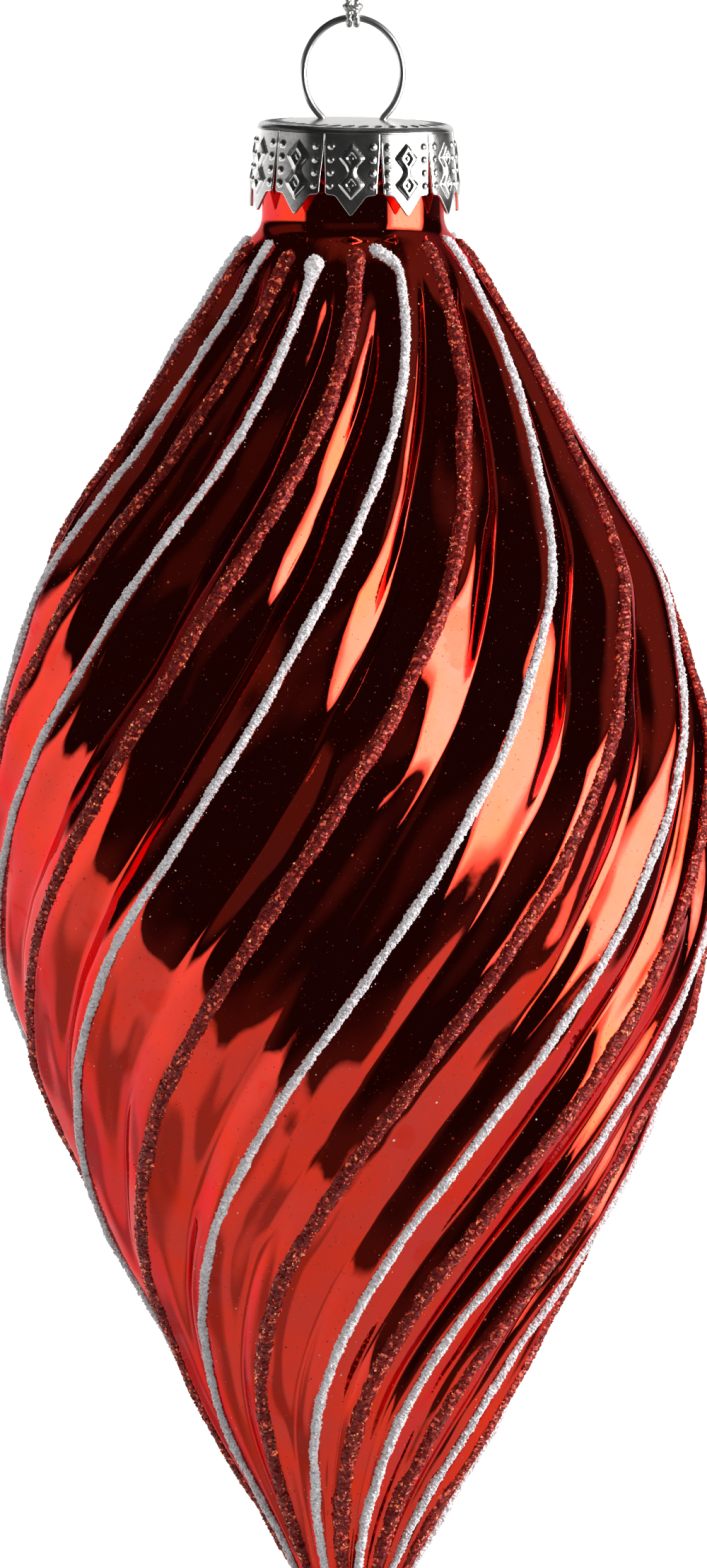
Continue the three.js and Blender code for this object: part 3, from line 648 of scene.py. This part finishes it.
def cap_piece():
    vs, fs = [], []
    pitch = 2 * math.pi / TABS
    # domed top disc with its ring of pressed dents, and the top of the skirt, as one turned strip
    cols = 528
    ph = np.linspace(0, 2 * math.pi, cols, endpoint=False)
    out_prof, in_prof = [], []
    prof = [(0.25, 0.0), (1.0, 0.0), (2.0, -0.02), (3.6, -0.06), (5.2, -0.14), (5.9, -0.20), (6.2, -0.23), (6.35, -0.245), (6.5, -0.26),
            (6.65, -0.27), (6.8, -0.28), (6.95, -0.29), (7.1, -0.30), (7.25, -0.31), (7.4, -0.315), (7.55, -0.32), (7.7, -0.325), (7.85, -0.335),
            (8.0, -0.355), (8.15, -0.40), (8.28, -0.49), (8.39, -0.62), (8.47, -0.79), (8.5, -1.0)]
    rows = []
    for r, dz in prof:
        # slanted lens-shaped dents pressed side by side round the edge of the disc
        lay = (r - 7.12) / 0.80
        c = 2 * np.mod(35 * ph / (2 * math.pi) + 0.30 * lay, 1.0) - 1
        lens = np.clip(1 - (c / 0.72) ** 2 - lay * lay, 0, 1)
        zz = CAP_TOP + dz - 0.20 * smooth(0.0, 0.55, lens)
        rows.append(np.stack([r * np.sin(ph), -r * np.cos(ph), np.broadcast_to(zz, ph.shape)], -1))
    top_out = np.vstack(rows)
    n_rows = len(prof)
    vs.append(top_out)
    fs.append(grid_faces(n_rows, cols, flip=True))
    # underside of the same strip
    rows = []
    for r, dz in prof:
        rr = r - (0 if r < 7.9 else TIN * smooth(7.9, 8.5, r))
        zz = CAP_TOP + dz - TIN * (1 - 0.0 * r)
        rows.append(np.stack([rr * np.sin(ph), -rr * np.cos(ph), np.full_like(ph, zz)], -1))
    vs.append(np.vstack(rows))
    off = len(top_out)
    fs.append(grid_faces(n_rows, cols, offset=off))
    # close the little hole at the middle
    c0 = off * 2
    vs.append(np.array([[0, 0, CAP_TOP], [0, 0, CAP_TOP - TIN]]))
    fs.append(fan(c0, np.arange(cols)))
    fs.append(fan(c0 + 1, np.arange(cols) + off, flip=True))
    # close the lower edge of the strip
    last_o = (n_rows - 1) * cols + np.arange(cols)
    last_i = off + (n_rows - 1) * cols + np.arange(cols)
    fs.append(np.stack([last_o, np.roll(last_o, -1), np.roll(last_i, -1), last_i], -1)[:, ::-1])
    # tabs
    nu, nv = 49, 61
    top = CAP_TOP - 0.85
    for k in range(TABS):
        mid = math.radians(TAB_PHASE) + pitch * k
        half = 0.5 * pitch * 8.72
        u = np.linspace(-1, 1, nu)
        vv = np.linspace(0, 1, nv)
        U, V = np.meshgrid(u, vv)
        z0 = top
        low = np.interp(np.abs(u), [0, 0.045, 0.09, 0.50, 0.58, 0.66, 0.93, 1.0],
                        [SPIKE_TIP, SPIKE_TIP + 0.04, SPIKE_TIP + 0.17, TAB_CORNER - 0.36, TAB_CORNER - 0.14, TAB_CORNER - 0.06, TAB_CORNER, TAB_CORNER + 0.18])
        Z = z0 + (low[None, :] - z0) * V
        # the slit starts closed and widens downward
        slit = 0.03 + 0.26 * smooth(-52.3, -57.0, Z)
        X = U * (half - slit)
        # rolled edges, pressed pattern
        edge = (half - slit) - np.abs(X)
        h = emboss(X, Z + 54.65)
        rim = 0.07 * np.exp(-(edge / 0.13) ** 2) * smooth(-52.4, -53.0, Z)
        R = flare(Z) + h + rim
        R = R - 0.05 * smooth(0.3, 0.0, edge) * smooth(-52.4, -53.4, Z)
        A = mid + X / 8.72
        outer = np.stack([R * np.sin(A), -R * np.cos(A), Z], -1).reshape(-1, 3)
        Ri = flare(Z) + h * 0.8 - TIN
        inner = np.stack([Ri * np.sin(A), -Ri * np.cos(A), Z], -1).reshape(-1, 3)
        o = sum(len(a) for a in vs)
        vs.append(outer)
        vs.append(inner)
        fs.append(grid_faces(nv, nu, closed_cols=False, offset=o, flip=True))
        fs.append(grid_faces(nv, nu, closed_cols=False, offset=o + nu * nv))
        border = np.concatenate([np.arange(nu), nu - 1 + nu * np.arange(1, nv), (nv - 1) * nu + np.arange(nu - 2, -1, -1), nu * np.arange(nv - 2, 0, -1)])
        bo, bi = o + border, o + nu * nv + border
        fs.append(np.stack([bo, bi, np.roll(bi, -1), np.roll(bo, -1)], -1)[:, ::-1])
    v = np.vstack(vs)
    return v, fs


cv, cf = cap_piece()
# a hand-crimped cap sits a touch askew
pivot = np.array([0, 0, -53.5])
c, s = math.cos(CAP_TILT), math.sin(CAP_TILT)
w = cv - pivot
cv = np.stack([w[:, 0] * c + w[:, 2] * s, w[:, 1], -w[:, 0] * s + w[:, 2] * c], -1) + pivot + np.array([0.2, 0, 0])
cap = mesh_object("pressed_crown_cap", cv, cf, TIN_MAT, "cap", replaces=("crown_cap",))

# ------------------------------------------------------------------ glass drop
def glass_piece():
    per = 20
    f = np.linspace(0, 1, per, endpoint=False)
    f = f + 0.10 * np.sin(4 * math.pi * f) / (2 * math.pi) * -1     # finer near ribs' grooves
    u = (np.arange(RIBS)[:, None] + f[None, :]).ravel()
    cols = len(u)
    z_neck = np.linspace(NECK_TOP - 0.25, -59.0, 14)
    z_sh = np.linspace(-59.2, -63.5, 24)
    z_body = np.linspace(-64.0, -176.0, 186)
    z_tip = np.array([-176.8, -177.6, -178.4, -179.2, -180.0, -180.7, -181.4, -182.0, -182.6, -183.1, -183.5, -183.9, -184.2, -184.45, -184.65, -184.8, -184.9, -184.97])
    zo = np.concatenate([z_neck, z_sh, z_body, z_tip])
    U, Z = np.meshgrid(u, zo)
    P = glass_surface(U, Z)
    outer = P.reshape(-1, 3)
    n_o = len(zo)
    # fire-polished neck rim
    rim = []
    a = np.radians(rib_deg(u, np.full_like(u, NECK_TOP)))
    for q in np.linspace(0.25, 2.9, 6):
        rr = NECK_R - WALL / 2 + WALL / 2 * math.cos(q)
        zz = NECK_TOP - 0.25 + 0.25 * math.sin(q)
        rim.append(np.stack([rr * np.sin(a), -rr * np.cos(a), np.full_like(a, zz)], -1))
    rim = rim[::-1]
    # inner surface, from the tip up to the rim
    zi = np.array([-182.4, -181.6, -180.5, -179.0, -177.0, -174.5, -171, -167, -162, -157, -152, -147, -141, -135, -129, -123, -117, -111,
                   -105, -99, -93, -88, -83, -78, -73.5, -69.5, -66.5, -64.2, -62.6, -61.4, -60.5, -59.6, -58.4, -56.0, -53.2])
    inner = []
    for z in zi:
        zz = np.full_like(u, z)
        aa = np.radians(rib_deg(u, zz))
        if z > -60:
            r = np.full_like(u, NECK_R - WALL)
        else:
            sl = float((radius_at(z + 0.4) - radius_at(z - 0.4)) / 0.8)
            r = np.maximum(0.25, radius_at(zz) - 0.35 * (z > -170) - WALL * math.hypot(1, sl) - depth_at(zz) * (1 - rib_shape(rib_crest(u, zz), zz)))
        inner.append(np.stack([r * np.sin(aa), -r * np.cos(aa), zz], -1))
    ring_rows = inner + rim                         # going up, then over the rim
    rows_all = np.concatenate([np.concatenate(ring_rows), outer])
    n_all = len(ring_rows) + n_o
    v = np.vstack([rows_all, [[0, 0, -182.7]], [[0, 0, TIP]]])
    faces = [grid_faces(n_all, cols)]
    m = n_all * cols
    faces.append(fan(m, np.arange(cols), flip=True))
    faces.append(fan(m + 1, (n_all - 1) * cols + np.arange(cols)))
    return v, faces


gv, gf = glass_piece()
glass = mesh_object("blown_glass_drop", gv, gf, GLASS, "glass", replaces=("glass_body",))

# ------------------------------------------------------------------ trails
OCTA = np.array([[1, 0, 0], [-1, 0, 0], [0, 1, 0], [0, -1, 0], [0, 0, 1], [0, 0, -1]], float)
OCTA_F = np.array([[0, 2, 4], [2, 1, 4], [1, 3, 4], [3, 0, 4], [2, 0, 5], [1, 2, 5], [3, 1, 5], [0, 3, 5]])


def random_rotations(r, n):
    q = r.normal(size=(n, 4))
    q /= np.linalg.norm(q, axis=1, keepdims=True)
    w, x, y, z = q.T
    return np.stack([
        np.stack([1 - 2 * (y * y + z * z), 2 * (x * y - z * w), 2 * (x * z + y * w)], -1),
        np.stack([2 * (x * y + z * w), 1 - 2 * (x * x + z * z), 2 * (y * z - x * w)], -1),
        np.stack([2 * (x * z - y * w), 2 * (y * z + x * w), 1 - 2 * (x * x + y * y)], -1)], 1)


def chips(r, centres, size, jitter=0.25):
    """Little closed eight-sided chips: centres (n, 3), size (n, 3) half-lengths."""
    n = len(centres)
    rot = random_rotations(r, n)
    shape = OCTA[None] * size[:, None, :] * (1 + jitter * r.uniform(-1, 1, (n, 6, 1)))
    v = np.einsum("nij,nkj->nki", rot, shape) + centres[:, None, :]
    f = OCTA_F[None] + (np.arange(n) * 6)[:, None, None]
    return v.reshape(-1, 3), f.reshape(-1, 3)


def trail_piece(index, seed, width, height, z_from, z_to, grain, steps, sides, blob, n_chips, chip_lo, chip_hi, flat, stray, hook=0.0):
    r = np.random.RandomState(seed)
    # even steps along the rib's length
    zz = np.linspace(z_from, z_to, 1500)
    p0 = glass_surface(np.full_like(zz, index), zz)
    s0 = np.r_[0, np.cumsum(np.linalg.norm(np.diff(p0, axis=0), axis=1))]
    L = s0[-1]
    s = np.linspace(0, L, steps)
    z = np.interp(s, s0, zz)
    # hand-laid line: it wanders a little across the rib
    R = radius_at(z)
    wander = np.zeros_like(s)
    for wl, am in ((34, 0.10), (13, 0.05), (5.5, 0.025)):
        wander += am * np.sin(2 * math.pi * s / wl * r.uniform(0.85, 1.15) + r.uniform(0, 6.28))
    wander = wander + hook * np.exp(-((s / 1.5) ** 2))
    gap_mm = R * math.radians(20.0)
    u = index + wander / np.maximum(gap_mm, 1.0)
    p, n, t, b = glass_frame(u, z)
    if hook:
        t = np.gradient(p, axis=0)
        t /= np.linalg.norm(t, axis=1, keepdims=True)
        b = np.cross(n, t)
        b /= np.linalg.norm(b, axis=1, keepdims=True)
    w = width * (1 + 0.10 * np.sin(2 * math.pi * s / r.uniform(7, 11) + r.uniform(0, 6.28)) + 0.07 * np.sin(2 * math.pi * s / r.uniform(2.2, 3.4) + r.uniform(0, 6.28)))
    h = height * (1 + 0.12 * np.sin(2 * math.pi * s / r.uniform(5, 9) + r.uniform(0, 6.28)))
    # bead where the nozzle started, tail where it lifted off
    bead = np.exp(-((s - 0.8) / 1.2) ** 2)
    w = w * (1 + blob * bead)
    h = h * (1 + 0.5 * blob * bead)
    room = np.clip(R / 7.0, 0.45, 1.0)
    w, h = w * room, h * room
    end = np.sqrt(np.clip(1 - ((0.5 * w - np.minimum(s, 0.5 * w)) / (0.5 * w)) ** 2, 0.02, 1))
    tail_len = 3.0
    end2 = np.sqrt(np.clip(np.minimum(L - s, tail_len) / tail_len, 0.02, 1))
    w, h = w * end * end2, h * end * end2
    th = np.linspace(0, 2 * math.pi, sides, endpoint=False)
    cx, cy = np.cos(th), np.sin(th)
    cy = np.where(cy < 0, cy * 0.28, cy)
    jx = grain * r.normal(size=(steps, sides))
    jy = grain * r.normal(size=(steps, sides)) * np.where(cy < 0, 0.2, 1)[None, :]
    js = 0.5 * grain * r.normal(size=(steps, sides))
    X = 0.5 * w[:, None] * cx[None, :] * (1 + 0.0) + jx * np.clip(h / height, 0.2, 1)[:, None]
    Y = h[:, None] * cy[None, :] + jy * np.clip(h / height, 0.2, 1)[:, None]
    # edges of the line hug the falling sides of the rib
    Y = Y - 0.15 * (X / 0.6) ** 2 * (X != 0)
    v = p[:, None, :] + b[:, None, :] * X[..., None] + n[:, None, :] * Y[..., None] + t[:, None, :] * js[..., None]
    v = v.reshape(-1, 3)
    faces = [grid_faces(steps, sides)]
    v = np.vstack([v, p[0] + n[0] * 0.05, p[-1] + n[-1] * 0.05])
    m = steps * sides
    faces.append(fan(m, np.arange(sides), flip=True))
    faces.append(fan(m + 1, (steps - 1) * sides + np.arange(sides)))
    idx = [np.zeros(len(f_), int) for f_ in faces]
    # loose grains or flakes bedded in the surface
    k = r.randint(0, steps, n_chips)
    a = r.uniform(0.06 * math.pi, 0.94 * math.pi, n_chips)
    out = r.uniform(0.86, 1.10, n_chips)
    cxx = 0.5 * w[k] * np.cos(a) * out
    cyy = h[k] * np.sin(a) * out - 0.15 * (cxx / 0.6) ** 2
    cen = p[k] + b[k] * cxx[:, None] + n[k] * cyy[:, None] + t[k] * r.uniform(-0.08, 0.08, n_chips)[:, None]
    if stray:
        ks = r.randint(0, steps, stray)
        off = r.normal(size=stray) * 0.55
        off += np.sign(off) * 0.5 * w[ks]
        us = u[ks] + off / np.maximum(gap_mm[ks], 1.0)
        ps = glass_surface(us, z[ks])
        cen = np.vstack([cen, ps])
    nn = len(cen)
    sz = np.exp(r.uniform(math.log(chip_lo), math.log(chip_hi), nn))
    size = np.stack([sz, sz * r.uniform(0.7, 1.0, nn), sz * flat * r.uniform(0.8, 1.2, nn)], -1)
    if stray:
        size[-stray:] *= 0.6
    cvs, cfs = chips(r, cen, size)
    cfs = cfs + len(v)
    v = np.vstack([v, cvs])
    faces.append(cfs)
    idx.append(np.ones(len(cfs), int))
    return v, faces, np.concatenate(idx)


for k in range(9):
    start_w = [-61.3, -62.3, -61.4, -61.0, -61.2, -61.8, -61.2, -61.5, -61.3][k]
    start_r = [-61.9, -61.6, -61.2, -61.4, -61.6, -61.3, -61.7, -61.2, -61.5][k]
    v, f, idx = trail_piece(2 * k, 100 + k, 0.80, 0.40, start_w, -179.5, 0.065, 1000, 12, [0.2, 1.5, 0.7, 0.2, 0.3, 0.5, 0.2, 0.4, 0.3][k], 4300, 0.065, 0.165, 0.85, 110, {2: -1.7, 6: 1.1}.get(k, 0.0))
    mesh_object(f"white_frost_line_{k + 1}", v, f, FROST, "glass", smooth_shade=False, replaces=(f"white_frost_trail_{k + 1}",),
                extra_mats=(FROST,), mat_index=idx)
    v, f, idx = trail_piece(2 * k + 1, 200 + k, 1.48, 0.40, start_r, -178.3, 0.04, 800, 12, 0.25, 4600, 0.075, 0.135, 0.16, 160)
    mesh_object(f"red_glitter_line_{k + 1}", v, f, BED, "glass", smooth_shade=False, replaces=(f"red_glitter_trail_{k + 1}",),
                extra_mats=(FLAKE,), mat_index=idx)

# ------------------------------------------------------------------ floor and studio
FILL = 1.0
def studio():
    m, nt, p = new_material("pale_floor")
    co = coords(nt)
    n = node(nt, "ShaderNodeTexNoise", {"Vector": co, "Scale": 3.0, "Detail": 3.0})
    c = ramp(nt, n.outputs["Fac"], [(0.3, (0.90, 0.90, 0.90)), (0.7, (0.93, 0.93, 0.93))])
    nt.links.new(c.outputs["Color"], p.inputs["Base Color"])
    p.inputs["Roughness"].default_value = 0.9
    nt.links.new(c.outputs["Color"], p.inputs["Emission Color"])
    p.inputs["Emission Strength"].default_value = 1.0
    me = bpy.data.meshes.new("floor")
    R, z = 14.0, (TIP - 70.0) * MM
    ang = np.linspace(0, 2 * math.pi, 64, endpoint=False)
    me.from_pydata([(R * math.cos(a), R * math.sin(a), z) for a in ang], [], [list(range(64))])
    me.materials.append(m)
    o = bpy.data.objects.new("floor", me)
    scene.collection.objects.link(o)
    o.visible_glossy = False
    o.visible_diffuse = False

    # large fill lights for the matt grains; the glass and metal reflect the room only
    for i, (azd, eld, power) in enumerate([(18, 38, 1.0), (-42, 30, 0.8), (75, 20, 0.9), (-115, 25, 0.7), (140, 30, 0.8), (-170, 20, 0.7), (30, -50, 0.4), (-150, -50, 0.4)]):
        la = bpy.data.lights.new(f"fill_{i}", "AREA")
        la.shape = "DISK"
        la.size = 1.0
        la.energy = 7.0 * power * FILL
        lo = bpy.data.objects.new(f"fill_{i}", la)
        a_, e_ = math.radians(azd), math.radians(eld)
        d_ = Vector((math.sin(a_) * math.cos(e_), -math.cos(a_) * math.cos(e_), math.sin(e_)))
        lo.location = Vector((0, 0, -0.11)) + d_ * 1.6
        lo.rotation_euler = d_.to_track_quat("Z", "Y").to_euler()
        lo.visible_glossy = False
        lo.visible_camera = False
        lo.visible_transmission = False
        scene.collection.objects.link(lo)

    w = bpy.data.worlds.new("studio")
    scene.world = w
    w.use_nodes = True
    nt = w.node_tree
    for n in list(nt.nodes):
        nt.nodes.remove(n)
    out = nt.nodes.new("ShaderNodeOutputWorld")
    tc = nt.nodes.new("ShaderNodeTexCoord")
    sep = node(nt, "ShaderNodeSeparateXYZ", {0: tc.outputs["Generated"]})

    def math_(op, a, b=None, c=None):
        ins = {0: a}
        if b is not None:
            ins[1] = b
        if c is not None:
            ins[2] = c
        return node(nt, "ShaderNodeMath", ins, operation=op).outputs[0]

    X, Y, Z = sep.outputs["X"], sep.outputs["Y"], sep.outputs["Z"]
    # azimuth from the camera side (-Y), growing towards +X, in degrees; elevation in degrees
    negY = math_("MULTIPLY", Y, -1.0)
    az = math_("MULTIPLY", math_("ARCTAN2", X, negY), 180 / math.pi)
    el = math_("MULTIPLY", math_("ARCSINE", Z), 180 / math.pi)

    def step(x, lo, hi):
        return node(nt, "ShaderNodeMapRange", {"Value": x, "From Min": lo, "From Max": hi}, interpolation_type="SMOOTHSTEP").outputs[0]

    def box(az0, az1, el0, el1, soft=3.0):
        a = math_("MULTIPLY", step(az, az0 - soft, az0 + soft), math_("SUBTRACT", 1.0, step(az, az1 - soft, az1 + soft)))
        b = math_("MULTIPLY", step(el, el0 - soft, el0 + soft), math_("SUBTRACT", 1.0, step(el, el1 - soft, el1 + soft)))
        return math_("MULTIPLY", a, b)

    def scaled(x, k):
        return math_("MULTIPLY", x, k)

    # a white wall on the left, the lit table, a tall soft box on the right and a pale room behind;
    # the camera side and the ceiling stay dark
    def along(x, pts, lo, hi, out_lo, out_hi):
        """A value that follows x through the given points."""
        t = node(nt, "ShaderNodeMapRange", {"Value": x, "From Min": lo, "From Max": hi}).outputs[0]
        r = ramp(nt, t, [((px - lo) / (hi - lo), ((py - out_lo) / (out_hi - out_lo),) * 3) for px, py in pts])
        return node(nt, "ShaderNodeMapRange", {"Value": r.outputs["Color"], "To Min": out_lo, "To Max": out_hi}).outputs[0]

    wall_edge = along(el, [(-90, -40), (-40, -42), (-24, -56), (-12, -61), (30, -62)], -90, 90, -180, 180)
    wall_top = math_("SUBTRACT", 1.0, step(el, 0.0, 6.0))
    wall_side = math_("SUBTRACT", 1.0, step(math_("SUBTRACT", az, wall_edge), -2.5, 2.5))
    wall_fade = along(el, [(-90, 0.70), (-50, 0.72), (-32, 0.84), (-17, 1.15), (-4, 1.35), (90, 1.35)], -90, 90, 0, 2)
    left = math_("MULTIPLY", math_("MULTIPLY", wall_top, wall_side), wall_fade)
    table_edge = along(az, [(-180, -3), (-110, -20), (-55, -34), (-25, -49), (30, -51), (55, -41), (75, -33), (100, -23), (145, -10), (180, -3)], -180, 180, -90, 90)
    table_tone = along(el, [(-90, 0.66), (-60, 0.76), (-35, 0.88), (-15, 0.92), (90, 0.92)], -90, 90, 0, 1)
    table = math_("MULTIPLY", math_("SUBTRACT", 1.0, step(math_("SUBTRACT", el, table_edge), -3.0, 3.0)), table_tone)
    # the near edge of the table falls into shade before the dark of the room
    near = scaled(math_("SUBTRACT", 1.0, step(math_("SUBTRACT", el, table_edge), 4.0, 22.0)), 0.06)
    # the soft box has a bright core and falls off to its rim
    core = math_("MULTIPLY", box(51, 95, -14, 21, 4), 7.5)
    soft_box = math_("MULTIPLY", box(45, 100, -19, 26, 1.8), math_("ADD", 2.8, core))
    right_up = scaled(box(60, 200, 30, 58, 7), 0.15)
    overhead = math_("MAXIMUM", scaled(step(el, 64, 78), 0.12), scaled(box(-34, 34, 9, 26, 6), 0.035))
    left_up = scaled(box(-132, -68, 13, 33, 4), 0.10)
    rear = math_("MAXIMUM", scaled(box(146, 200, -12, 26, 5), 0.85), scaled(box(-200, -150, -12, 26, 5), 0.85))
    # shaded patches where the wall meets the table and under the object
    shade = math_("MAXIMUM", scaled(box(-104, -78, -58, -30, 7), 0.55), scaled(box(-48, -14, -78, -58, 7), 0.50))
    shade = math_("MAXIMUM", shade, scaled(box(-140, -124, -45, -16, 6), 0.45))
    lit = math_("SUBTRACT", 1.0, shade)
    left, table = math_("MULTIPLY", left, lit), math_("MULTIPLY", table, lit)
    total = left
    for part in (table, near, soft_box, right_up, left_up, overhead, rear):
        total = math_("MAXIMUM", total, part)
    total = math_("ADD", total, 0.015)
    lp = nt.nodes.new("ShaderNodeLightPath")
    bg1 = node(nt, "ShaderNodeBackground", {"Color": (1, 1, 1, 1)})
    nt.links.new(total, bg1.inputs["Strength"])
    bg2 = node(nt, "ShaderNodeBackground", {"Color": (1, 1, 1, 1), "Strength": 1.0})
    mix = node(nt, "ShaderNodeMixShader", {0: lp.outputs["Is Camera Ray"], 1: bg1.outputs[0], 2: bg2.outputs[0]})
    nt.links.new(mix.outputs[0], out.inputs[0])
    w.cycles.sampling_method = "MANUAL"
    w.cycles.sample_map_resolution = 1024


studio()
